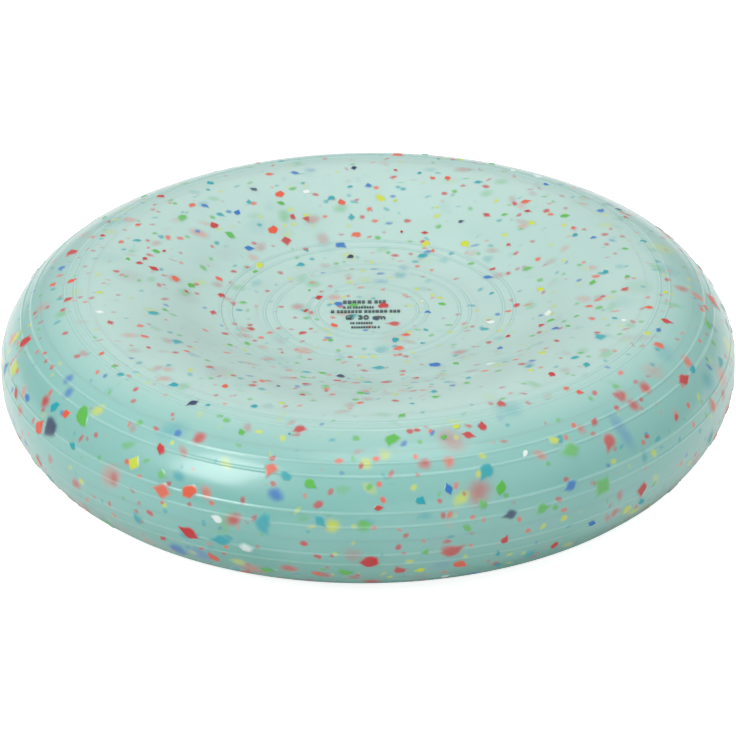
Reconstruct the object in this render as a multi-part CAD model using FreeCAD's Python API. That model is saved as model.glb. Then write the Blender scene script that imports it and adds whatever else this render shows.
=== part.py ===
import FreeCAD, Part
import math
import os
import random

# Inflatable wobble cushion: a round hollow vinyl skin with confetti flakes in its wall, and a needle
# valve in the middle of its underside. Millimetres, +Z up. The origin is the centre of the face that
# the cushion stands on. The skin is one moulding; it is divided here along level cuts, so that its top
# can tilt over its base and its middle can be pressed in.

# Driving sizes of the skin.
OUTER_RADIUS = 150.0
HEIGHT = 67.0
WALL = 3.0
RIM_RADIUS = 113.0
DISH_DEPTH = 14.5
DISH_FLAT_RADIUS = 40.0
FOOT_FLATTENING = 0.5

# Where the skin is divided, and the slit left between stretches that move apart.
BASE_CUT_HEIGHT = 5.0
SHOULDER_CUT_HEIGHT = 62.0
CENTRE_CUT_RADIUS = 45.0
SLIT = 0.3

# Moulded rings: thin round-topped ribs that run all the way round, in close pairs.
RIB_RADIUS = 0.9
RIB_HEIGHT = 0.45
FACE_RIB_RADII = (20.5, 24.5, 37.7, 42.0, 55.6, 60.0)
SHOULDER_RIB_RADII = (118.5, 122.5)
WALL_RIB_OFFSETS = (6.0, 11.0, 22.4, 25.9)

# Needle valve: a welded housing, a rubber core with a blind needle channel, and a stopper.
HOUSING_RADIUS = 8.0
HOUSING_LIP_RADIUS = 11.0
HOUSING_FLANGE_RADIUS = 14.0
HOUSING_LIP = 0.8
HOUSING_FLANGE = 1.6
HOUSING_TOP = 21.0
CORE_RADIUS = 4.2
CORE_FLANGE_RADIUS = 5.6
CORE_FLANGE = 1.0
CORE_BILL_LENGTH = 3.0
CORE_BILL_RADIUS = 1.8
CHANNEL_RADIUS = 1.1
CHANNEL_END_WALL = 1.0
RECESS_RADIUS = 6.6
RECESS_DEPTH = 2.0
STOPPER_RADIUS = 6.2
STOPPER_THICKNESS = 2.0
STOPPER_GAP = 0.2
STOPPER_DOME = 0.6
STOPPER_PIN_RADIUS = 1.05
STOPPER_PIN_LENGTH = 6.8

# Confetti flakes: flat angular chips of coloured vinyl, moulded in at the outside of the wall.
FLAKE_DEPTH = 0.8
FLAKE_PROUD = 0.08
FACE_FLAKE_HALF_SIZES = (1.1, 3.2)
SIDE_FLAKE_HALF_SIZES = (1.6, 4.6)
FLAKE_SPACING = 0.6
FLAKE_EDGE_MARGIN = 0.6
FLAKE_COLOUR_SHARES = {
    "red": 6,
    "coral": 5,
    "turquoise": 5,
    "blue": 2,
    "navy": 1,
    "green": 5,
    "lime": 2,
    "white": 1,
}
FLAKE_VALVE_CLEARANCE = 17.0
FLAKE_FOOT_CLEARANCE = 12.0
FLAKE_SEED = 30

# Sizes that follow from the ones above.
MIDDLE = HEIGHT / 2
WALL_REACH = OUTER_RADIUS - RIM_RADIUS
DISH_SLOPE_WIDTH = RIM_RADIUS - DISH_FLAT_RADIUS
DISH_ARC_RADIUS = (DISH_SLOPE_WIDTH**2 + DISH_DEPTH**2) / (4 * DISH_DEPTH)
DISH_TURN_RADIUS = (RIM_RADIUS + DISH_FLAT_RADIUS) / 2
BASE_DISH_HEIGHT = DISH_DEPTH - FOOT_FLATTENING
UP = FreeCAD.Vector(0, 0, 1)
ORIGIN = FreeCAD.Vector(0, 0, 0)


# Outline of the skin, as points at a radius and a height.


def dish_drop(radius):
    """How far a face lies below its own rim, at this radius."""
    if radius <= DISH_FLAT_RADIUS:
        return DISH_DEPTH
    if radius <= DISH_TURN_RADIUS:
        run = radius - DISH_FLAT_RADIUS
        return DISH_DEPTH - DISH_ARC_RADIUS + math.sqrt(DISH_ARC_RADIUS**2 - run**2)
    run = RIM_RADIUS - radius
    return DISH_ARC_RADIUS - math.sqrt(DISH_ARC_RADIUS**2 - run**2)


def dish_slope(radius):
    """How steeply a face climbs outwards at this radius, as height over radius."""
    if radius <= DISH_FLAT_RADIUS:
        return 0.0
    if radius <= DISH_TURN_RADIUS:
        run = radius - DISH_FLAT_RADIUS
    else:
        run = RIM_RADIUS - radius
    return run / math.sqrt(DISH_ARC_RADIUS**2 - run**2)


def top_face_point(radius):
    """Radius, height and outward normal of the top face."""
    slope = dish_slope(radius)
    length = math.hypot(1.0, slope)
    return radius, HEIGHT - dish_drop(radius), -slope / length, 1 / length


def base_face_point(radius):
    """Radius, height and outward normal of the underside."""
    slope = dish_slope(radius)
    length = math.hypot(1.0, slope)
    return radius, dish_drop(radius) - FOOT_FLATTENING, -slope / length, -1 / length


def side_point(height):
    """Radius, height and outward normal of the rounded side wall."""
    rise = height - MIDDLE
    reach_up = MIDDLE if rise > 0 else MIDDLE + FOOT_FLATTENING
    across = math.sqrt(1 - (rise / reach_up) ** 2)
    normal_radius = across / WALL_REACH
    normal_height = rise / reach_up**2
    length = math.hypot(normal_radius, normal_height)
    return RIM_RADIUS + WALL_REACH * across, height, normal_radius / length, normal_height / length


def shoulder_point(radius):
    """Radius, height and outward normal of the upper side wall where it has this radius."""
    return side_point(MIDDLE + MIDDLE * math.sqrt(1 - ((radius - RIM_RADIUS) / WALL_REACH) ** 2))


# Solids of revolution.


def at(radius, height):
    """A point of an outline, in the plane that is turned about the axis."""
    return FreeCAD.Vector(radius, 0, height)


def turned(edges):
    """The solid that closed outline edges sweep in one turn about the axis."""
    return Part.Face(Part.Wire(edges)).revolve(ORIGIN, UP, 360)


def turned_polygon(corners):
    """The solid that a straight-sided outline sweeps in one turn about the axis."""
    points = [at(radius, height) for radius, height in corners]
    points.append(points[0])
    return turned(Part.makePolygon(points).Edges)


def dish_arcs(rim_height, way, inset):
    """The two arcs of one face from its rim in to its flat; way is 1 on top and -1 below."""
    flat_height = rim_height - way * DISH_DEPTH
    concave_radius = DISH_ARC_RADIUS + inset
    convex_radius = DISH_ARC_RADIUS - inset
    concave_centre = at(DISH_FLAT_RADIUS, flat_height + way * DISH_ARC_RADIUS)
    convex_centre = at(RIM_RADIUS, rim_height - way * DISH_ARC_RADIUS)
    turn_angle = math.asin(DISH_SLOPE_WIDTH / 2 / DISH_ARC_RADIUS)

    def on(centre, radius, angle, upright):
        return centre + at(radius * math.sin(angle), upright * radius * math.cos(angle))

    convex = Part.Arc(
        on(convex_centre, convex_radius, 0, way),
        on(convex_centre, convex_radius, -turn_angle / 2, way),
        on(convex_centre, convex_radius, -turn_angle, way),
    )
    concave = Part.Arc(
        on(concave_centre, concave_radius, turn_angle, -way),
        on(concave_centre, concave_radius, turn_angle / 2, -way),
        on(concave_centre, concave_radius, 0, -way),
    )
    return convex.toShape(), concave.toShape()


def side_arc(reach_out, reach_up):
    """A quarter of an ellipse from the widest point to the rim; reach_up is negative below."""
    widest = at(RIM_RADIUS + reach_out, MIDDLE)
    rim = at(RIM_RADIUS, MIDDLE + reach_up)
    ellipse = Part.Ellipse(widest, rim, at(RIM_RADIUS, MIDDLE))
    return Part.ArcOfEllipse(ellipse, 0, math.pi / 2).toShape()


def skin_body(inset):
    """The cushion as a filled solid, with its surface moved in by inset."""
    top_rim = HEIGHT - inset
    base_rim = inset - FOOT_FLATTENING
    top_flat = top_rim - DISH_DEPTH
    base_flat = base_rim + DISH_DEPTH
    top_convex, top_concave = dish_arcs(HEIGHT, 1, inset)
    base_convex, base_concave = dish_arcs(-FOOT_FLATTENING, -1, inset)
    edges = [
        side_arc(WALL_REACH - inset, MIDDLE - inset),
        top_convex,
        top_concave,
        Part.makeLine(at(DISH_FLAT_RADIUS, top_flat), at(0, top_flat)),
        Part.makeLine(at(0, top_flat), at(0, base_flat)),
        Part.makeLine(at(0, base_flat), at(DISH_FLAT_RADIUS, base_flat)),
        base_concave,
        base_convex,
        side_arc(WALL_REACH - inset, inset - MIDDLE - FOOT_FLATTENING),
    ]
    return turned(Part.__sortEdges__(edges))


def rib(station):
    """One moulded ring at a station of the outline."""
    radius, height, normal_radius, normal_height = station
    sunk = RIB_RADIUS - RIB_HEIGHT
    centre = FreeCAD.Vector(0, 0, height - sunk * normal_height)
    return Part.makeTorus(radius - sunk * normal_radius, RIB_RADIUS, centre)


def rib_stations():
    """Every moulded ring: on both faces, over the shoulder, and above and below the middle."""
    stations = [top_face_point(radius) for radius in FACE_RIB_RADII]
    stations += [base_face_point(radius) for radius in FACE_RIB_RADII]
    stations += [shoulder_point(radius) for radius in SHOULDER_RIB_RADII]
    stations += [side_point(MIDDLE + offset) for offset in WALL_RIB_OFFSETS]
    stations += [side_point(MIDDLE - offset) for offset in WALL_RIB_OFFSETS]
    return stations


def hollow_skin():
    """The whole skin with its moulded rings, flat where it stands, and the valve's hole."""
    filled = skin_body(0).fuse([rib(station) for station in rib_stations()])
    stood = filled.common(level_drum(2 * OUTER_RADIUS, 0, 2 * HEIGHT))
    valve_hole = level_drum(HOUSING_RADIUS, -HEIGHT, MIDDLE)
    return stood.cut(skin_body(WALL)).cut(valve_hole)


def level_drum(radius, low, high):
    """A cylinder about the axis between two heights."""
    return Part.makeCylinder(radius, high - low, FreeCAD.Vector(0, 0, low))


def level_ring(inner, outer, low, high):
    """A square-edged ring about the axis."""
    return level_drum(outer, low, high).cut(level_drum(inner, low - 1, high + 1))


def skin_stretches():
    """The skin divided into its underside, its two walls and its top, each ring a solid of its own."""
    skin = hollow_skin()
    beyond = 2 * OUTER_RADIUS
    above = 2 * HEIGHT
    zones = {
        "base_centre": level_drum(CENTRE_CUT_RADIUS, -1, MIDDLE),
        "base_inner_ring": level_ring(CENTRE_CUT_RADIUS, DISH_TURN_RADIUS, -1, MIDDLE),
        "base_outer_ring": level_ring(DISH_TURN_RADIUS, RIM_RADIUS, -1, MIDDLE),
        "foot_ring": level_ring(RIM_RADIUS, beyond, -1, BASE_CUT_HEIGHT),
        "lower_wall": level_ring(RIM_RADIUS, beyond, BASE_CUT_HEIGHT + SLIT, MIDDLE - SLIT / 2),
        "upper_wall": level_ring(RIM_RADIUS, beyond, MIDDLE + SLIT / 2, SHOULDER_CUT_HEIGHT),
        "shoulder_ring": level_ring(RIM_RADIUS, beyond, SHOULDER_CUT_HEIGHT, above),
        "top_outer_ring": level_ring(DISH_TURN_RADIUS, RIM_RADIUS, MIDDLE, above),
        "top_inner_ring": level_ring(CENTRE_CUT_RADIUS, DISH_TURN_RADIUS, MIDDLE, above),
        "top_centre": level_drum(CENTRE_CUT_RADIUS - SLIT, MIDDLE, above),
    }
    return {name: skin.common(zone) for name, zone in zones.items()}


# Valve.


def valve_housing():
    """Vinyl bush welded into the base: a lip outside, a flange inside, a recess for the stopper."""
    bottom = BASE_DISH_HEIGHT - HOUSING_LIP
    seat = bottom + RECESS_DEPTH
    flange_low = BASE_DISH_HEIGHT + WALL
    flange_high = flange_low + HOUSING_FLANGE
    return turned_polygon(
        [
            (RECESS_RADIUS, bottom),
            (HOUSING_LIP_RADIUS, bottom),
            (HOUSING_LIP_RADIUS, BASE_DISH_HEIGHT),
            (HOUSING_RADIUS, BASE_DISH_HEIGHT),
            (HOUSING_RADIUS, flange_low),
            (HOUSING_FLANGE_RADIUS, flange_low),
            (HOUSING_FLANGE_RADIUS, flange_high),
            (HOUSING_RADIUS, flange_high),
            (HOUSING_RADIUS, HOUSING_TOP),
            (CORE_RADIUS, HOUSING_TOP),
            (CORE_RADIUS, seat),
            (RECESS_RADIUS, seat),
        ]
    )


def valve_core():
    """Rubber insert: a plug body, a flange that snaps over the housing, and closed lips on top."""
    seat = BASE_DISH_HEIGHT - HOUSING_LIP + RECESS_DEPTH
    flange_high = HOUSING_TOP + CORE_FLANGE
    bill_high = flange_high + CORE_BILL_LENGTH
    channel_high = bill_high - CHANNEL_END_WALL
    return turned_polygon(
        [
            (CHANNEL_RADIUS, seat),
            (CORE_RADIUS, seat),
            (CORE_RADIUS, HOUSING_TOP),
            (CORE_FLANGE_RADIUS, HOUSING_TOP),
            (CORE_FLANGE_RADIUS, flange_high),
            (CORE_RADIUS, flange_high),
            (CORE_BILL_RADIUS, bill_high),
            (0, bill_high),
            (0, channel_high),
            (CHANNEL_RADIUS, channel_high),
        ]
    )


def valve_stopper():
    """Push-in stopper: a low domed head in the recess, and a pin up the needle channel."""
    head_top = BASE_DISH_HEIGHT - HOUSING_LIP + RECESS_DEPTH - STOPPER_GAP
    head_low = head_top - STOPPER_THICKNESS
    pin_top = head_top + STOPPER_PIN_LENGTH
    pin_shoulder = pin_top - STOPPER_PIN_RADIUS / 2
    half_way = STOPPER_RADIUS / 2
    dome_radius = (STOPPER_RADIUS**2 + STOPPER_DOME**2) / (2 * STOPPER_DOME)
    half_way_rise = dome_radius - math.sqrt(dome_radius**2 - half_way**2)
    dome = Part.Arc(
        at(STOPPER_RADIUS, head_low + STOPPER_DOME),
        at(half_way, head_low + half_way_rise),
        at(0, head_low),
    )
    corners = [
        (0, head_low),
        (0, pin_top),
        (STOPPER_PIN_RADIUS / 2, pin_top),
        (STOPPER_PIN_RADIUS, pin_shoulder),
        (STOPPER_PIN_RADIUS, head_top),
        (STOPPER_RADIUS, head_top),
        (STOPPER_RADIUS, head_low + STOPPER_DOME),
    ]
    sides = Part.makePolygon([at(radius, height) for radius, height in corners]).Edges
    return turned(Part.__sortEdges__([dome.toShape()] + sides))


# Confetti flakes.


def flake(station, turn, half_size, dice):
    """One angular chip, flat against the skin at a station of the outline."""
    radius, height, normal_radius, normal_height = station
    normal = FreeCAD.Vector(
        normal_radius * math.cos(turn),
        normal_radius * math.sin(turn),
        normal_height,
    )
    centre = FreeCAD.Vector(radius * math.cos(turn), radius * math.sin(turn), height)
    along = FreeCAD.Vector(-math.sin(turn), math.cos(turn), 0)
    across = normal.cross(along)
    corner_count = dice.choice((3, 4, 4, 5, 5))
    narrowness = dice.uniform(0.4, 0.95)
    lean = dice.uniform(0, math.pi)
    corners = []
    for index in range(corner_count):
        angle = 2 * math.pi * (index + dice.uniform(-0.25, 0.25)) / corner_count
        reach = half_size * dice.uniform(0.62, 1.0)
        long_way = reach * math.cos(angle)
        short_way = reach * math.sin(angle) * narrowness
        shift_along = long_way * math.cos(lean) - short_way * math.sin(lean)
        shift_across = long_way * math.sin(lean) + short_way * math.cos(lean)
        corner = centre + along * shift_along + across * shift_across
        corners.append(corner + normal * FLAKE_PROUD)
    corners.append(corners[0])
    outline = Part.Face(Part.makePolygon(corners))
    return outline.extrude(normal * -(FLAKE_DEPTH + FLAKE_PROUD))


def even_radius(low, high, dice):
    """A radius drawn so that flakes lie evenly over a flat ring."""
    return math.sqrt(dice.uniform(low**2, high**2))


def even_height(low, high, dice):
    """A height drawn so that flakes lie evenly up the rounded side."""
    low_angle = math.asin((low - MIDDLE) / MIDDLE)
    high_angle = math.asin((high - MIDDLE) / MIDDLE)
    return MIDDLE + MIDDLE * math.sin(dice.uniform(low_angle, high_angle))


def flake_patches():
    """Node ending, outline, draw, limits that flakes keep inside, half sizes, and how many flakes."""
    foot_inside = RIM_RADIUS - FLAKE_FOOT_CLEARANCE
    wall_low = (BASE_CUT_HEIGHT + SLIT, MIDDLE - SLIT / 2)
    wall_high = (MIDDLE + SLIT / 2, SHOULDER_CUT_HEIGHT)
    shoulder = (RIM_RADIUS - FACE_FLAKE_HALF_SIZES[1], side_point(SHOULDER_CUT_HEIGHT)[0])
    dish = (CENTRE_CUT_RADIUS, RIM_RADIUS)
    face_sizes = FACE_FLAKE_HALF_SIZES
    side_sizes = SIDE_FLAKE_HALF_SIZES
    return (
        ("base", base_face_point, even_radius, (FLAKE_VALVE_CLEARANCE, foot_inside), face_sizes, 100),
        ("lower_wall", side_point, even_height, wall_low, side_sizes, 100),
        ("top", side_point, even_height, wall_high, side_sizes, 100),
        ("top", shoulder_point, even_radius, shoulder, face_sizes, 50),
        ("top", top_face_point, even_radius, dish, face_sizes, 150),
        ("centre", top_face_point, even_radius, (0, CENTRE_CUT_RADIUS - SLIT), face_sizes, 22),
    )


def scattered_flakes():
    """Flakes of every colour over every patch, clear of each other and of the slits."""
    dice = random.Random(FLAKE_SEED)
    all_shares = sum(FLAKE_COLOUR_SHARES.values())
    placed = []
    groups = {}
    for ending, outline, draw, limits, sizes, count in flake_patches():
        for colour, share in FLAKE_COLOUR_SHARES.items():
            chips = groups.setdefault(f"{colour}_flakes_{ending}", [])
            for _ in range(max(1, round(count * share / all_shares))):
                chips.append(clear_flake(outline, draw, limits, sizes, placed, dice))
    return groups


def clear_flake(outline, draw, limits, sizes, placed, dice):
    """A flake at a free place of one patch; its place and size are added to placed."""
    low, high = limits
    small, large = sizes
    while True:
        half_size = dice.triangular(small, large, (2 * small + large) / 3)
        margin = half_size + FLAKE_EDGE_MARGIN
        station = outline(draw(low + margin, high - margin, dice))
        turn = dice.uniform(0, 2 * math.pi)
        middle = FreeCAD.Vector(
            station[0] * math.cos(turn),
            station[0] * math.sin(turn),
            station[1],
        )
        if all(
            middle.distanceToPoint(other) > half_size + other_size + FLAKE_SPACING
            for other, other_size in placed
        ):
            placed.append((middle, half_size))
            return flake(station, turn, half_size, dice)


def write(name, shape):
    """One sub-part's file, and its number of solids and volume on one line."""
    shape.exportStep(f"parts/{name}.step")
    print(f"{name}: {len(shape.Solids)} solid, {shape.Volume / 1000:.2f} cm3, {shape.isValid()}")


os.makedirs("parts", exist_ok=True)
for stretch_name, stretch in skin_stretches().items():
    write(stretch_name, stretch)
write("valve_housing", valve_housing())
write("valve_core", valve_core())
write("valve_stopper", valve_stopper())
for group_name, flakes in scattered_flakes().items():
    write(group_name, Part.makeCompound(flakes))
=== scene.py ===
import math
import random

import bmesh
import bpy
from mathutils import Euler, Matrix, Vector
from mathutils.bvhtree import BVHTree
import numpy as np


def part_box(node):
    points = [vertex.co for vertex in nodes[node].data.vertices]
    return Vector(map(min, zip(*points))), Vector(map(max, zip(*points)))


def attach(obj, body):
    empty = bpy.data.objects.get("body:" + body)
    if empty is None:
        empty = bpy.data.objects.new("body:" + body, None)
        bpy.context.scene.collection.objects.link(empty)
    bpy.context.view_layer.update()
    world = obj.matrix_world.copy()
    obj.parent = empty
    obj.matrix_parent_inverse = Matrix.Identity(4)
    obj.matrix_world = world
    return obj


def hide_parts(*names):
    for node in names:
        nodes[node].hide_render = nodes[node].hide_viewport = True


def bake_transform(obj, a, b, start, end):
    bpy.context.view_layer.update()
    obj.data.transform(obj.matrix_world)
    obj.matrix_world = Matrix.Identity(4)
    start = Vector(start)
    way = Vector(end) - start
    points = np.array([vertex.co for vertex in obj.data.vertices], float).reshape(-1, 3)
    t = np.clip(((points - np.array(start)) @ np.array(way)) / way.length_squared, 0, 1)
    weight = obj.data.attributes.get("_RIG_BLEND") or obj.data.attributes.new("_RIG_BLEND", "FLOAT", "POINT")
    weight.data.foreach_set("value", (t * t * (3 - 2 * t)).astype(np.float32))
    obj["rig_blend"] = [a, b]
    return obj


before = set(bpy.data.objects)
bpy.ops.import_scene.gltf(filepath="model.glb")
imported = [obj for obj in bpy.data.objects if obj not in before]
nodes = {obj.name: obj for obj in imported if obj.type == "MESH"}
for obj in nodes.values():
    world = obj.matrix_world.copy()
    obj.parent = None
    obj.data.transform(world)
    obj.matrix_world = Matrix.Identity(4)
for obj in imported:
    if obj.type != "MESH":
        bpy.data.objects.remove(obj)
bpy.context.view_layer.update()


# Table and light. A plain white table in a white room with a brighter ceiling, a panel overhead,
# a softbox at the left that draws the highlight over the front shoulder, and a fill in front. The
# table is clear from below and inside the foot, so that the underside is lit when it is looked at.
scene = bpy.context.scene
scene.view_settings.view_transform = "Standard"
middle_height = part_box("upper_wall")[0][2]


def node(tree, kind, feeds=None, **settings):
    """One node of a material: its settings, and its inputs fed by a value or by another node."""
    made = tree.nodes.new("ShaderNode" + kind)
    for setting, value in settings.items():
        setattr(made, setting, value)
    for socket, value in (feeds or {}).items():
        if isinstance(value, bpy.types.NodeSocket):
            tree.links.new(value, made.inputs[socket])
        else:
            made.inputs[socket].default_value = value
    return made


def new_material(name):
    """A material with nothing in it but its output."""
    material = bpy.data.materials.new(name)
    material.use_nodes = True
    material.node_tree.nodes.clear()
    return material, material.node_tree


def soft_panel(name, place, aim, size, power):
    """A square or oblong lamp that faces the point it is aimed at."""
    lamp = bpy.data.lights.new(name, "AREA")
    lamp.shape = "RECTANGLE"
    lamp.size, lamp.size_y = size
    lamp.energy = power
    panel = bpy.data.objects.new(name, lamp)
    panel.location = place
    panel.rotation_euler = (Vector(aim) - Vector(place)).to_track_quat("-Z", "Y").to_euler()
    scene.collection.objects.link(panel)
    return panel


soft_panel("overhead_panel", (0.2, -0.3, 2.4), (0, 0, 0.03), (1.2, 0.9), 6)
soft_panel("left_softbox", (-1.45, -1.10, 1.75), (0, 0, 0.03), (0.85, 1.35), 22)
soft_panel("front_fill", (0.7, -2.4, 0.6), (0, 0, 0.03), (1.8, 1.0), 5)

world = bpy.data.worlds.new("studio_walls")
world.use_nodes = True
world.node_tree.nodes.clear()
eye_or_light = node(world.node_tree, "LightPath")
seen = node(world.node_tree, "Background", {"Color": (1, 1, 1, 1), "Strength": 1.0})
way = node(world.node_tree, "TexCoord")
way_apart = node(world.node_tree, "SeparateXYZ", {"Vector": way.outputs["Generated"]})
upwards = node(world.node_tree, "MapRange",
               {"Value": way_apart.outputs["Z"], "From Min": 0.1, "From Max": 0.9,
                "To Min": 0.52, "To Max": 1.25}, interpolation_type="SMOOTHSTEP")
felt = node(world.node_tree, "Background", {"Color": (1.0, 0.99, 0.98, 1),
                                            "Strength": upwards.outputs["Result"]})
walls = node(world.node_tree, "MixShader", {0: eye_or_light.outputs["Is Camera Ray"],
                                            1: felt.outputs[0], 2: seen.outputs[0]})
node(world.node_tree, "OutputWorld", {"Surface": walls.outputs[0]})
scene.world = world

table_white, tree = new_material("table_white")
lift_for_eye = node(tree, "LightPath")
paint = node(tree, "BsdfPrincipled",
             {"Base Color": (0.8, 0.8, 0.8, 1), "Roughness": 0.6, "Emission Color": (1, 1, 1, 1)})
tree.links.new(node(tree, "Math", {0: lift_for_eye.outputs["Is Camera Ray"], 1: 0.80},
                    operation="MULTIPLY").outputs[0], paint.inputs["Emission Strength"])
see_through = node(tree, "BsdfTransparent")
below = node(tree, "NewGeometry")
spot = node(tree, "TexCoord")
from_middle = node(tree, "VectorMath", {0: spot.outputs["Object"]}, operation="LENGTH")
under_dish = node(tree, "Math", {0: from_middle.outputs["Value"], 1: 0.1125}, operation="LESS_THAN")
open_there = node(tree, "Math", {0: below.outputs["Backfacing"], 1: under_dish.outputs[0]},
                  operation="MAXIMUM")
surface = node(tree, "MixShader", {0: open_there.outputs[0], 1: paint.outputs[0],
                                   2: see_through.outputs[0]})
node(tree, "OutputMaterial", {"Surface": surface.outputs[0]})
cut = bmesh.new()
bmesh.ops.create_grid(cut, x_segments=1, y_segments=1, size=6.0)
table_mesh = bpy.data.meshes.new("table")
cut.to_mesh(table_mesh)
cut.free()
table = bpy.data.objects.new("table", table_mesh)
table.location = (0, 0, -0.0001)
table_mesh.materials.append(table_white)
scene.collection.objects.link(table)

eye_distance = 1.4
eye_elevation = math.radians(28.2)
eye_tilt = math.radians(-0.6)
aimed_below = 0.0078
lens = bpy.data.cameras.new("eye")
lens.sensor_width = 36
lens.lens = 166.8
eye = bpy.data.objects.new("eye", lens)
eye.location = (0, -eye_distance * math.cos(eye_elevation),
                middle_height + eye_distance * math.sin(eye_elevation))
gaze = Vector((0, 0, middle_height - aimed_below)) - eye.location
eye.rotation_euler = (gaze.to_track_quat("-Z", "Y") @ Euler((0, 0, eye_tilt)).to_quaternion()).to_euler()
scene.collection.objects.link(eye)
scene.camera = eye


# The skin: soft vinyl blown in one mould, hollow, 3 mm thick, with low round ribs in pairs. Both faces
# are dished. It is made here as rings that meet edge to edge, each turned from its own outline.
outer_radius = 0.150
height = 0.067
wall = 0.003
rim_radius = 0.113
dish_depth = 0.0145
flat_radius = 0.040
foot_flattening = 0.0005
centre_radius = 0.045
turns = 288
rib_half_width = 0.0009
rib_height = 0.00024
face_ribs = (0.0205, 0.0245, 0.0377, 0.0420, 0.0556, 0.0600)
shoulder_ribs = (0.1185, 0.1225)
wall_rib_offsets = (0.0060, 0.0110, 0.0224, 0.0259)

mid = height / 2
reach_out = outer_radius - rim_radius
slope_width = rim_radius - flat_radius
dish_arc = (slope_width**2 + dish_depth**2) / (4 * dish_depth)


def dish(radius):
    """How far a face lies below its rim at a radius, and how steeply it climbs outwards there."""
    if radius <= flat_radius:
        return dish_depth, 0.0
    if radius <= (rim_radius + flat_radius) / 2:
        run = radius - flat_radius
        rise = math.sqrt(dish_arc**2 - run**2)
        return dish_depth - dish_arc + rise, run / rise
    run = rim_radius - radius
    rise = math.sqrt(dish_arc**2 - run**2)
    return dish_arc - rise, run / rise


def on_top(radius):
    """Radius, height and outward normal of the top face."""
    drop, slope = dish(radius)
    length = math.hypot(1, slope)
    return radius, height - drop, -slope / length, 1 / length


def on_underside(radius):
    """Radius, height and outward normal of the underside, flattened where it stands."""
    drop, slope = dish(radius)
    length = math.hypot(1, slope)
    return radius, max(drop - foot_flattening, 0.0), -slope / length, -1 / length


def on_side(angle):
    """Radius, height and outward normal of the round side; angle runs from below to above."""
    reach_up = mid if angle > 0 else mid + foot_flattening
    across, up = reach_up * math.cos(angle), reach_out * math.sin(angle)
    length = math.hypot(across, up)
    rise = mid + reach_up * math.sin(angle)
    return rim_radius + reach_out * math.cos(angle), max(rise, 0.0), across / length, up / length


def side_angle(level):
    """The angle at which the round side is at this height."""
    reach_up = mid if level > mid else mid + foot_flattening
    return math.asin((level - mid) / reach_up)


shoulder_angles = [math.acos((radius - rim_radius) / reach_out) for radius in shoulder_ribs]
wall_angles = [side_angle(mid + offset) for offset in wall_rib_offsets]
wall_angles += [side_angle(mid - offset) for offset in wall_rib_offsets]
side_arc_radius = (reach_out + mid) / 2
rib_steps = [rib_half_width * step / 4 for step in range(-5, 6)]


def stations(start, end, even_gap, rib_places, unit):
    """Where an outline gets its points: evenly, and closely across each rib. unit is metres per step."""
    count = max(1, math.ceil(abs(end - start) * unit / even_gap))
    places = {start + (end - start) * index / count for index in range(count + 1)}
    for rib_place in rib_places:
        places |= {rib_place + step / unit for step in rib_steps}
    low, high = min(start, end), max(start, end)
    kept = sorted(place for place in places if low <= place <= high)
    return kept if start < end else kept[::-1]


def rib_lift(place, rib_places, unit):
    """How far a rib raises the skin at a place of the outline."""
    near = min((abs(place - rib_place) * unit for rib_place in rib_places), default=1.0)
    return rib_height * math.cos(math.pi / 2 * min(near / rib_half_width, 1.0)) ** 2


def turned_ring(name, point, start, end, rib_places, unit=1.0):
    """One ring of the skin: outline outside, same outline a wall's thickness in, turned full circle."""
    places = stations(start, end, 0.0014, rib_places, unit)
    outside, inside, lifts = [], [], []
    for place in places:
        radius, level, across, up = point(place)
        lift = rib_lift(place, rib_places, unit)
        lifts.append(lift / rib_height)
        outside.append((radius + across * lift, 0, level + up * lift))
    for place in places[::-1]:
        radius, level, across, up = point(place)
        inside.append((max(radius - across * wall, 0.0), 0, level - up * wall))
    cut = bmesh.new()
    rib_layer = cut.verts.layers.float.new("rib")
    corners = [cut.verts.new(place) for place in outside + inside]
    for corner, lift in zip(corners, lifts):
        corner[rib_layer] = lift
    rim = [cut.edges.new(pair) for pair in zip(corners, corners[1:])]
    if min(outside[0][0], outside[-1][0]) > 0:
        rim.append(cut.edges.new((corners[-1], corners[0])))
    bmesh.ops.spin(cut, geom=corners + rim, cent=(0, 0, 0), axis=(0, 0, 1), angle=2 * math.pi,
                   steps=turns, use_merge=True)
    bmesh.ops.remove_doubles(cut, verts=cut.verts, dist=1e-6)
    bmesh.ops.recalc_face_normals(cut, faces=cut.faces)
    return finished(name, cut)


def finished(name, cut, sharp=math.radians(40)):
    """A piece from its worked mesh, smooth but for its sharp edges, remembering where it lies at rest."""
    mesh = bpy.data.meshes.new(name)
    cut.to_mesh(mesh)
    cut.free()
    mesh.shade_smooth()
    mesh.set_sharp_from_angle(angle=sharp)
    rest = mesh.attributes.new("rest_place", "FLOAT_VECTOR", "POINT")
    places = [number for corner in mesh.vertices for number in corner.co]
    rest.data.foreach_set("vector", places)
    piece = bpy.data.objects.new(name, mesh)
    scene.collection.objects.link(piece)
    return piece


# The skin's finish: milky mint vinyl with a gloss coat. Flakes that lie deep in the wall show through
# it as soft patches with a painted grey shadow round them; the faces are painted a lighter mint and the side
# a deeper one, as painted light and shade.
flake_tints = {
    "red": (0.42, 0.012, 0.016),
    "coral": (0.58, 0.075, 0.03),
    "turquoise": (0.004, 0.27, 0.32),
    "blue": (0.003, 0.115, 0.40),
    "navy": (0.006, 0.012, 0.075),
    "green": (0.075, 0.36, 0.045),
    "lime": (0.45, 0.52, 0.02),
    "white": (0.60, 0.67, 0.65),
}
deep_shares = (("red", 9), ("coral", 6), ("turquoise", 4), ("green", 4), ("lime", 4), ("blue", 2))


def maths(tree, operation, first, second=0.0, third=0.0, clamp=False):
    """The result of one sum on numbers or sockets."""
    made = node(tree, "Math", {0: first, 1: second, 2: third}, operation=operation, use_clamp=clamp)
    return made.outputs[0]


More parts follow.
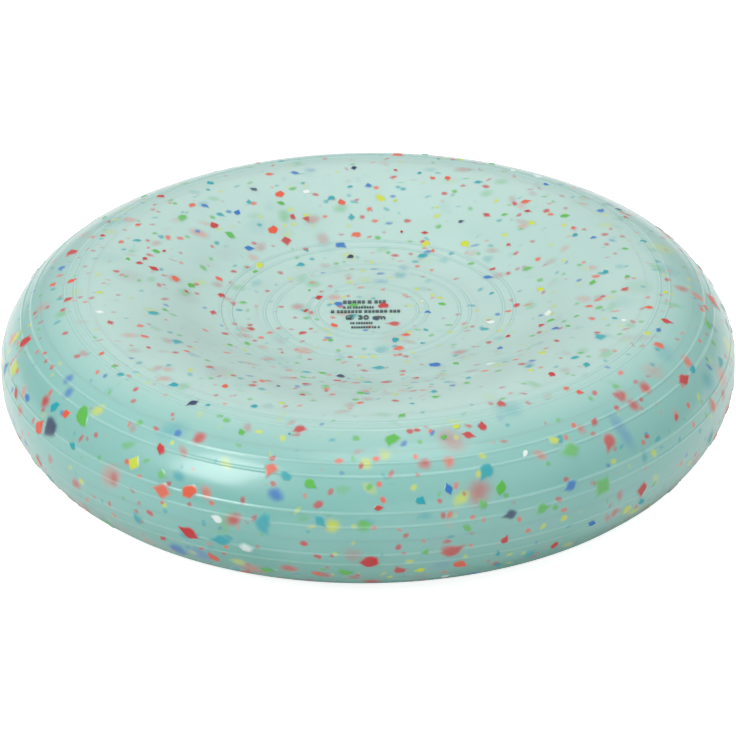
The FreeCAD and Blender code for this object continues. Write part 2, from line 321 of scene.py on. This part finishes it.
def vector_maths(tree, operation, first, second):
    """The result of one sum on vectors."""
    made = node(tree, "VectorMath", {0: first, 1: second}, operation=operation)
    return made.outputs["Vector"]


def mixed(tree, share, first, second, blend="MIX"):
    """Two colours mixed by a share."""
    made = node(tree, "Mix", data_type="RGBA", blend_type=blend)
    for socket, value in zip((0, 6, 7), (share, first, second)):
        if isinstance(value, bpy.types.NodeSocket):
            tree.links.new(value, made.inputs[socket])
        else:
            made.inputs[socket].default_value = value
    return made.outputs[2]


def eased(tree, value, low, high, from_one=False):
    """A smooth step from 0 at low to 1 at high, or from 1 down to 0."""
    ends = (1.0, 0.0) if from_one else (0.0, 1.0)
    made = node(tree, "MapRange", {"Value": value, "From Min": low, "From Max": high,
                                   "To Min": ends[0], "To Max": ends[1]},
                interpolation_type="SMOOTHSTEP")
    return made.outputs["Result"]


def effect(name, takes, gives):
    """An empty node group with its named inputs and outputs."""
    group = bpy.data.node_groups.new(name, "ShaderNodeTree")
    for socket, kind, value in takes:
        made = group.interface.new_socket(socket, in_out="INPUT", socket_type="NodeSocket" + kind)
        if value is not None:
            made.default_value = value
    for socket, kind in gives:
        group.interface.new_socket(socket, in_out="OUTPUT", socket_type="NodeSocket" + kind)
    return group, group.nodes.new("NodeGroupInput").outputs, group.nodes.new("NodeGroupOutput").inputs


def placed_effect(tree, group, feeds):
    """A node group placed in a material."""
    made = tree.nodes.new("ShaderNodeGroup")
    made.node_tree = group
    for socket, value in feeds.items():
        if isinstance(value, bpy.types.NodeSocket):
            tree.links.new(value, made.inputs[socket])
        else:
            made.inputs[socket].default_value = value
    return made.outputs


# Deep flakes: one angular chip in some cells of a random lattice, turned and sized by its cell.
deep_flakes, given, result = effect(
    "deep_flakes",
    (("Place", "Vector", None), ("Shift", "Vector", (0, 0, 0)), ("Spacing", "Float", 0.01),
     ("Half Size", "Float", 0.002), ("Blur", "Float", 0.2), ("Share", "Float", 0.5)),
    (("Tint", "Color"), ("Cover", "Float"), ("Painted Shadow", "Float")),
)
shifted = vector_maths(deep_flakes, "ADD", given["Place"], given["Shift"])
wobble = node(deep_flakes, "TexNoise", {"Vector": shifted, "Scale": 260.0, "Detail": 1.0})
wobbled = node(deep_flakes, "VectorMath", {0: wobble.outputs["Color"], 1: (0.0016, 0.0016, 0.0016),
                                           2: shifted}, operation="MULTIPLY_ADD").outputs["Vector"]
cells = node(deep_flakes, "TexVoronoi",
             {"Vector": wobbled, "Scale": maths(deep_flakes, "DIVIDE", 1.0, given["Spacing"]),
              "Randomness": 1.0})
chance = node(deep_flakes, "SeparateColor", {"Color": cells.outputs["Color"]})
from_middle = vector_maths(deep_flakes, "SUBTRACT", wobbled, cells.outputs["Position"])
turned = node(deep_flakes, "VectorRotate",
              {"Vector": from_middle,
               "Axis": vector_maths(deep_flakes, "SUBTRACT", cells.outputs["Color"], (0.5, 0.5, 0.5)),
               "Angle": maths(deep_flakes, "MULTIPLY", chance.outputs["Red"], 12.0)})
along = node(deep_flakes, "SeparateXYZ", {"Vector": turned.outputs["Vector"]})
long_side = maths(deep_flakes, "MULTIPLY_ADD", chance.outputs["Green"], 0.8, 0.7)
short_side = maths(deep_flakes, "MULTIPLY_ADD", chance.outputs["Blue"], 0.5, 0.45)
reaches = []
for socket, side in (("X", long_side), ("Y", short_side), ("Z", 0.8)):
    distance = maths(deep_flakes, "ABSOLUTE", along.outputs[socket])
    half = maths(deep_flakes, "MULTIPLY", given["Half Size"], side)
    reaches.append(maths(deep_flakes, "DIVIDE", distance, half))
reach_parts = node(deep_flakes, "CombineXYZ", {"X": reaches[0], "Y": reaches[1], "Z": reaches[2]})
reach = node(deep_flakes, "VectorMath", {0: reach_parts.outputs[0]}, operation="LENGTH").outputs["Value"]
spread_chance = maths(deep_flakes, "FRACT", maths(deep_flakes, "MULTIPLY", chance.outputs["Red"], 57.0))
there = maths(deep_flakes, "LESS_THAN", spread_chance, given["Share"])
strength = maths(deep_flakes, "MULTIPLY_ADD", chance.outputs["Blue"], 0.45, 0.55)
seen_there = maths(deep_flakes, "MULTIPLY", there, strength)
soft_low = maths(deep_flakes, "SUBTRACT", 1.0, given["Blur"])
soft_high = maths(deep_flakes, "ADD", 1.0, given["Blur"])
cover = eased(deep_flakes, reach, soft_low, soft_high, from_one=True)
# The haze is a painted shadow: a wider, softer patch round each flake that darkens the mint where the flake
# would shade the milky wall.
flake_shadow = eased(deep_flakes, reach, 0.5, maths(deep_flakes, "ADD", 1.6, given["Blur"]), from_one=True)
deep_flakes.links.new(maths(deep_flakes, "MULTIPLY", cover, seen_there), result["Cover"])
deep_flakes.links.new(maths(deep_flakes, "MULTIPLY", flake_shadow, seen_there), result["Painted Shadow"])
tint_chance = maths(deep_flakes, "FRACT", maths(deep_flakes, "MULTIPLY", chance.outputs["Green"], 31.0))
tints = node(deep_flakes, "ValToRGB", {"Fac": tint_chance})
tints.color_ramp.interpolation = "CONSTANT"
share_sum = sum(share for _, share in deep_shares)
passed = 0
for colour, share in deep_shares:
    if passed == 0:
        stop = tints.color_ramp.elements[0]
        tints.color_ramp.elements.remove(tints.color_ramp.elements[1])
    else:
        stop = tints.color_ramp.elements.new(passed / share_sum)
    stop.color = (*flake_tints[colour], 1)
    passed += share
deep_flakes.links.new(tints.outputs["Color"], result["Tint"])

# Milky vinyl: the mint itself, cloudy, painted lighter on the faces and deeper at the side, and painted
# darker towards the bottom as shade, with three depths of flakes in it.
# Painted light and shade: the one vinyl in two tones, lighter on the faces where light falls from above,
# deeper on the side.
lit_face_mint = (0.312, 0.485, 0.445, 1)
shaded_side_mint = (0.148, 0.385, 0.348, 1)
shaded_low_mint = (0.055, 0.290, 0.232, 1)
painted_shadow_tint = (0.20, 0.40, 0.38, 1)
milky_vinyl, given, result = effect(
    "milky_vinyl", (("Place", "Vector", None), ("Rib", "Float", 0.0)),
    (("Colour", "Color"), ("Roughness", "Float"), ("Height", "Float")),
)
apart = node(milky_vinyl, "SeparateXYZ", {"Vector": given["Place"]})
flat_place = node(milky_vinyl, "CombineXYZ", {"X": apart.outputs["X"], "Y": apart.outputs["Y"]})
from_axis = node(milky_vinyl, "VectorMath", {0: flat_place.outputs[0]}, operation="LENGTH")
clouds = node(milky_vinyl, "TexNoise", {"Vector": given["Place"], "Scale": 14.0, "Detail": 3.0,
                                        "Roughness": 0.55})
wandering = maths(milky_vinyl, "MULTIPLY_ADD", clouds.outputs[0], 0.02, -0.01)
on_face = eased(milky_vinyl, maths(milky_vinyl, "ADD", from_axis.outputs["Value"], wandering),
                0.108, 0.141, from_one=True)
# Painted shade: the side is painted a darker teal towards the bottom.
low_shade_share = eased(milky_vinyl, maths(milky_vinyl, "ADD", apart.outputs["Z"], wandering), 0.006, 0.036,
                 from_one=True)
shaded_side_colour = mixed(milky_vinyl, low_shade_share, shaded_side_mint, shaded_low_mint)
mint = mixed(milky_vinyl, on_face, shaded_side_colour, lit_face_mint)
# Lighter cloudy patches, stronger on the faces: partly the milky vinyl's own cloudiness, partly painted soft
# highlight streaks.
cloud = eased(milky_vinyl, clouds.outputs[0], 0.25, 0.75)
cloud_and_sheen_share = maths(milky_vinyl, "MULTIPLY", cloud, maths(milky_vinyl, "MULTIPLY_ADD", on_face, 0.12, 0.10))
mint = mixed(milky_vinyl, cloud_and_sheen_share, mint, (0.50, 0.66, 0.62, 1))
depths = (
    ((0.31, 0.17, 0.05), 0.0170, 0.0048, 0.80, 0.40, 0.15, 0.75, 0.25),
    ((0.13, 0.41, 0.23), 0.0105, 0.0028, 0.65, 0.62, 0.50, 1.0, 0.35),
    ((0.57, 0.29, 0.37), 0.0056, 0.0014, 0.45, 0.85, 0.95, 0.90, 0.30),
)
for shift, spacing, half_size, blur, share, on_faces, on_side_too, shadow_share in depths:
    layer = placed_effect(milky_vinyl, deep_flakes,
                          {"Place": given["Place"], "Shift": shift, "Spacing": spacing,
                           "Half Size": half_size, "Blur": blur, "Share": share})
    # Painted shadow round each deep flake: the mint mixed towards a darker grey teal.
    mint = mixed(milky_vinyl, maths(milky_vinyl, "MULTIPLY", layer["Painted Shadow"], shadow_share), mint, painted_shadow_tint)
    strength = maths(milky_vinyl, "MULTIPLY_ADD", on_face, on_faces - on_side_too, on_side_too)
    mint = mixed(milky_vinyl, maths(milky_vinyl, "MULTIPLY", layer["Cover"], strength), mint,
                 layer["Tint"])
# Rib shading: beside each rib a darker teal, partly the deeper tint of thicker vinyl and partly painted
# shade, strongest on the faces; along each crest a lighter mint, a painted highlight.
one_less_rib = maths(milky_vinyl, "SUBTRACT", 1.0, given["Rib"])
rib_flank_shade = maths(milky_vinyl, "MULTIPLY", maths(milky_vinyl, "MULTIPLY", given["Rib"], one_less_rib),
                  maths(milky_vinyl, "MULTIPLY_ADD", on_face, 1.5, 0.3))
mint = mixed(milky_vinyl, rib_flank_shade, mint, (0.10, 0.29, 0.27, 1))
rib_crest_highlight = maths(milky_vinyl, "MULTIPLY", given["Rib"], 0.15)
mint = mixed(milky_vinyl, rib_crest_highlight, mint, (0.52, 0.70, 0.66, 1))
milky_vinyl.links.new(mint, result["Colour"])
smears = node(milky_vinyl, "TexNoise", {"Vector": given["Place"], "Scale": 45.0, "Detail": 4.0})
milky_vinyl.links.new(maths(milky_vinyl, "MULTIPLY_ADD", smears.outputs[0], 0.10, 0.26),
                      result["Roughness"])
ripples = node(milky_vinyl, "TexNoise", {"Vector": given["Place"], "Scale": 38.0, "Detail": 2.0})
milky_vinyl.links.new(ripples.outputs[0], result["Height"])


def vinyl_skin():
    """The gloss-coated milky mint of the skin."""
    material, tree = new_material("vinyl_skin_finish")
    place = node(tree, "Attribute", attribute_name="rest_place")
    rib = node(tree, "Attribute", attribute_name="rib")
    milk = placed_effect(tree, milky_vinyl, {"Place": place.outputs["Vector"], "Rib": rib.outputs["Fac"]})
    dents = node(tree, "Bump", {"Height": milk["Height"], "Strength": 0.35, "Distance": 0.0006})
    paint = node(tree, "BsdfPrincipled",
                 {"Base Color": milk["Colour"], "Roughness": milk["Roughness"],
                  "Normal": dents.outputs["Normal"], "IOR": 1.5,
                  "Subsurface Weight": 0.35, "Subsurface Radius": (0.7, 1.0, 0.95),
                  "Subsurface Scale": 0.005, "Coat Weight": 0.8, "Coat Roughness": 0.16})
    node(tree, "OutputMaterial", {"Surface": paint.outputs[0]})
    return material


skin_finish = vinyl_skin()
base_cut = side_angle(0.005)
shoulder_cut = side_angle(0.062)
quarter = math.pi / 2
valve_hole_radius = 0.008
skin_rings = (
    ("underside_skin", on_underside, valve_hole_radius, rim_radius, face_ribs, 1.0,
     ("base_centre", "base_inner_ring", "base_outer_ring")),
    ("foot_skin", on_side, -quarter, base_cut, wall_angles, side_arc_radius, ("foot_ring",)),
    ("lower_wall_skin", on_side, base_cut, 0.0, wall_angles, side_arc_radius, ("lower_wall",)),
    ("upper_wall_skin", on_side, 0.0, shoulder_cut, wall_angles, side_arc_radius, ("upper_wall",)),
    ("shoulder_skin", on_side, shoulder_cut, quarter, shoulder_angles, side_arc_radius,
     ("shoulder_ring",)),
    ("dish_skin", on_top, rim_radius, centre_radius, face_ribs, 1.0,
     ("top_outer_ring", "top_inner_ring")),
    ("centre_skin", on_top, centre_radius, 0.0, face_ribs, 1.0, ("top_centre",)),
)
skin = {}
for name, point, start, end, rib_places, unit, stood_for in skin_rings:
    ring = turned_ring(name, point, start, end, rib_places, unit)
    ring.data.materials.append(skin_finish)
    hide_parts(*stood_for)
    skin[name] = ring

# How each ring follows the joints: rigid with its body, or bent between the two that it joins.
base_level, top_level = 0.005, 0.062
crest_level, middle_level = height, height - dish_depth
bends = {
    "lower_wall": ("base", "middle", base_level, mid),
    "upper_wall": ("middle", "top", mid, top_level),
    "dish": ("top", "centre", crest_level, middle_level),
}
rides = {"underside": "base", "foot": "base", "shoulder": "top", "centre": "centre"}


def follow(piece, stretch):
    """Makes a piece move with the stretch of skin that it belongs to."""
    if stretch in rides:
        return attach(piece, rides[stretch])
    first, second, start, end = bends[stretch]
    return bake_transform(piece, first, second, start=(0, 0, start), end=(0, 0, end))


for name, ring in skin.items():
    follow(ring, name.removesuffix("_skin"))


# Confetti flakes: chips of coloured vinyl just under the surface of the skin. Each keeps the outline
# of its cut chip, is laid to the skin's curve, and fades into the milky vinyl round its edge.
chip_lift = 0.00033
chip_sink = 0.00005
chip_directions = 12

surfaces = []
for ring in skin.values():
    cut = bmesh.new()
    cut.from_mesh(ring.data)
    surfaces.append(BVHTree.FromBMesh(cut))
    cut.free()


def nearest_skin(place):
    """The nearest point of the skin and the way it faces."""
    found = min((surface.find_nearest(place) for surface in surfaces), key=lambda hit: hit[3])
    return found[0], found[1]


def chip_outlines(cad_node):
    """The outer face of every chip in a node, as its corners in order."""
    cut = bmesh.new()
    cut.from_mesh(nodes[cad_node].data)
    bmesh.ops.remove_doubles(cut, verts=cut.verts, dist=1e-6)
    bmesh.ops.dissolve_limit(cut, angle_limit=math.radians(1), verts=cut.verts, edges=cut.edges)
    unseen = set(cut.faces)
    outlines = []
    while unseen:
        island, edge_faces = set(), [unseen.pop()]
        while edge_faces:
            face = edge_faces.pop()
            island.add(face)
            beside = {other for edge in face.edges for other in edge.link_faces} & unseen
            unseen -= beside
            edge_faces.extend(beside)
        largest = sorted(island, key=lambda face: -face.calc_area())[:2]
        outer = max(largest, key=lambda face: face.normal.dot(
            nearest_skin(face.calc_center_median())[1]))
        outlines.append([corner.co.copy() for corner in outer.verts])
    cut.free()
    return outlines


def stretch_of(place):
    """The stretch of skin on which a chip of the top lies."""
    if math.hypot(place.x, place.y) < rim_radius:
        return "dish"
    return "shoulder" if place.z > top_level else "upper_wall"


def reach_of(corners, way):
    """How far a flat outline round its middle reaches in one direction."""
    reach = 0.55 * max(corner.length for corner in corners)
    for start, end in zip(corners, corners[1:] + corners[:1]):
        side = end - start
        facing = way.cross(side)
        if abs(facing) > 1e-12 and 0 <= start.cross(way) / facing <= 1:
            reach = max(reach, start.cross(side) / facing)
    return reach


def laid_chip(cut, outline, spread, softness):
    """One chip added to a mesh: rings from its middle to beyond its edge, laid on the skin."""
    middle = sum(outline, Vector()) / len(outline)
    upright = nearest_skin(middle)[1]
    first = upright.orthogonal().normalized()
    second = upright.cross(first)
    corners = [Vector(((corner - middle).dot(first), (corner - middle).dot(second))) for corner in outline]
    rings = ((1 - 0.45 * softness, 1.0, chip_lift), (1.0, 1 - 0.4 * softness, chip_lift),
             (1.1 + 0.6 * softness, 0.0, -chip_sink))
    cover_layer = cut.verts.layers.float["cover"]
    point, way = nearest_skin(middle)
    hub = cut.verts.new(point + way * chip_lift)
    hub[cover_layer] = 1.0
    tip = max(corners, key=lambda corner: corner.length)
    first_angle = math.atan2(tip.y, tip.x)
    laid = []
    for share, cover, lift in rings:
        ring = []
        for index in range(chip_directions):
            angle = first_angle + 2 * math.pi * index / chip_directions
            way = Vector((math.cos(angle), math.sin(angle)))
            reach = spread * share * reach_of(corners, way)
            point, upward = nearest_skin(middle + (first * way.x + second * way.y) * reach)
            corner = cut.verts.new(point + upward * lift)
            corner[cover_layer] = cover
            ring.append(corner)
        laid.append(ring)
    for index in range(chip_directions):
        beside = (index + 1) % chip_directions
        cut.faces.new((hub, laid[0][index], laid[0][beside]))
        for inner, outer in zip(laid, laid[1:]):
            cut.faces.new((inner[index], outer[index], outer[beside], inner[beside]))


def chip_vinyl(colour):
    """Opaque coloured vinyl, cloudy where the milky skin lies over it, under the same gloss coat."""
    material, tree = new_material(f"{colour}_flake_finish")
    place = node(tree, "Attribute", attribute_name="rest_place")
    milk = placed_effect(tree, milky_vinyl, {"Place": place.outputs["Vector"]})
    veil = node(tree, "TexNoise", {"Vector": place.outputs["Vector"], "Scale": 150.0, "Detail": 2.0})
    depth = node(tree, "Attribute", attribute_name="depth")
    veiled = maths(tree, "MULTIPLY_ADD", veil.outputs[0], 0.10, depth.outputs["Fac"], clamp=True)
    chip_tint = mixed(tree, veiled, (*flake_tints[colour], 1), lit_face_mint)
    cover = node(tree, "Attribute", attribute_name="cover")
    covered = eased(tree, cover.outputs["Fac"], 0.0, 1.0)
    tint = mixed(tree, covered, milk["Colour"], chip_tint)
    dents = node(tree, "Bump", {"Height": milk["Height"], "Strength": 0.35, "Distance": 0.0006})
    paint = node(tree, "BsdfPrincipled",
                 {"Base Color": tint, "Roughness": milk["Roughness"], "Normal": dents.outputs["Normal"],
                  "IOR": 1.5, "Coat Roughness": 0.16,
                  "Coat Weight": maths(tree, "MULTIPLY_ADD", covered, -0.65, 0.8),
                  "Specular IOR Level": maths(tree, "MULTIPLY_ADD", covered, -0.3, 0.5)})
    node(tree, "OutputMaterial", {"Surface": paint.outputs[0]})
    return material


stood_for_by = {"underside": "base", "lower_wall": "lower_wall", "dish": "top", "centre": "centre"}
dice = random.Random(11)
for colour in flake_tints:
    finish = chip_vinyl(colour)
    chips = {}
    for ending, stretch in (("base", "underside"), ("lower_wall", "lower_wall"), ("top", None),
                            ("centre", "centre")):
        for outline in chip_outlines(f"{colour}_flakes_{ending}"):
            middle = sum(outline, Vector()) / len(outline)
            chips.setdefault(stretch or stretch_of(middle), []).append(outline)
    for stretch, outlines in chips.items():
        cut = bmesh.new()
        depth_layer = cut.verts.layers.float.new("depth")
        cut.verts.layers.float.new("cover")
        most_soft, spread = (1.0, 1.25) if stretch.endswith("wall") else (0.8, 1.15)
        for outline in outlines:
            before = len(cut.verts)
            softness = most_soft * dice.uniform(0.35, 1.0)
            laid_chip(cut, outline, spread, softness)
            cut.verts.ensure_lookup_table()
            depth_value = 0.26 * softness**2 - 0.07
            for corner in cut.verts[before:]:
                corner[depth_layer] = depth_value
        piece = finished(f"{colour}_chips_{stretch}", cut, sharp=math.radians(70))
        piece.data.materials.append(finish)
        follow(piece, stretch)
        if stretch in stood_for_by:
            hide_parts(f"{colour}_flakes_{stood_for_by[stretch]}")


# The size print: grey ink on the flat middle of the top. One line gives the diameter; the other lines
# are rows of plain bars. Each mark is a thin closed slip with its lower half in the vinyl.
ink_level = height - dish_depth
ink_thickness = 0.00038
print_grey, tree = new_material("print_grey")
worn = node(tree, "TexNoise", {"Vector": node(tree, "TexCoord").outputs["Object"], "Scale": 900.0,
                               "Detail": 2.0})
ink_tone = mixed(tree, worn.outputs[0], (0.022, 0.045, 0.047, 1), (0.06, 0.105, 0.105, 1))
paint = node(tree, "BsdfPrincipled", {"Base Color": ink_tone, "Roughness": 0.45})
node(tree, "OutputMaterial", {"Surface": paint.outputs[0]})

line_rows = (
    (0.0074, 0.0022, -0.0099, 0.0080, 0.0015), (0.0026, 0.0013, -0.0099, 0.0037, 0.0009),
    (-0.0010, 0.0018, -0.0149, 0.0138, 0.0013), (-0.0111, 0.0011, -0.0070, 0.0030, 0.0008),
    (-0.0148, 0.0012, -0.0066, 0.0059, 0.0008),
)
cut = bmesh.new()
dice = random.Random(5)
for forward, bar_height, left, right, bar_width in line_rows:
    place = left
    while place + bar_width <= right:
        width = bar_width * dice.uniform(0.7, 1.1)
        slip = bmesh.ops.create_cube(cut, size=1.0)["verts"]
        bmesh.ops.scale(cut, verts=slip, vec=(width, bar_height, 2 * ink_thickness))
        bmesh.ops.translate(cut, verts=slip, vec=(place + width / 2, forward, ink_level))
        place += width + bar_width * dice.choice((0.3, 0.3, 0.3, 0.8))
size_bars = finished("size_print_bars", cut)
size_bars.data.materials.append(print_grey)
follow(size_bars, "centre")

lettering = bpy.data.curves.new("size_print_diameter", "FONT")
lettering.body = "\u00d8 30 cm"
lettering.size = 0.0046
lettering.offset = 0.00008
lettering.extrude = ink_thickness
lettering.align_x = "CENTER"
lettering.materials.append(print_grey)
size_line = bpy.data.objects.new("size_print_diameter", lettering)
size_line.location = (-0.0008, -0.0078, ink_level)
scene.collection.objects.link(size_line)
follow(size_line, "centre")


# The valve: a vinyl bush, its rubber core and the plastic stopper keep their own shapes. Each gets
# the fine texture of what it is made of.
def moulded(name, light, dark, roughness, coat):
    """A moulded finish: slightly uneven in tone and gloss, with a fine grain."""
    material, tree = new_material(name)
    place = node(tree, "TexCoord").outputs["Object"]
    tone = node(tree, "TexNoise", {"Vector": place, "Scale": 180.0, "Detail": 3.0})
    grain = node(tree, "TexNoise", {"Vector": place, "Scale": 2200.0, "Detail": 2.0})
    bumps = node(tree, "Bump", {"Height": grain.outputs[0], "Strength": 0.3, "Distance": 0.00005})
    paint = node(tree, "BsdfPrincipled",
                 {"Base Color": mixed(tree, tone.outputs[0], light, dark), "IOR": 1.5,
                  "Roughness": maths(tree, "MULTIPLY_ADD", tone.outputs[0], 0.15, roughness),
                  "Normal": bumps.outputs["Normal"], "Coat Weight": coat, "Coat Roughness": 0.2})
    node(tree, "OutputMaterial", {"Surface": paint.outputs[0]})
    return material


valve_finishes = {
    "valve_housing": moulded("bush_vinyl", (0.20, 0.43, 0.38, 1), (0.15, 0.36, 0.32, 1), 0.25, 0.4),
    "valve_core": moulded("core_rubber", (0.035, 0.035, 0.037, 1), (0.018, 0.018, 0.02, 1), 0.6, 0.0),
    "valve_stopper": moulded("stopper_plastic", (0.66, 0.68, 0.67, 1), (0.58, 0.61, 0.60, 1), 0.3, 0.2),
}
for cad_node, finish in valve_finishes.items():
    for place in nodes[cad_node].material_slots:
        place.material = finish
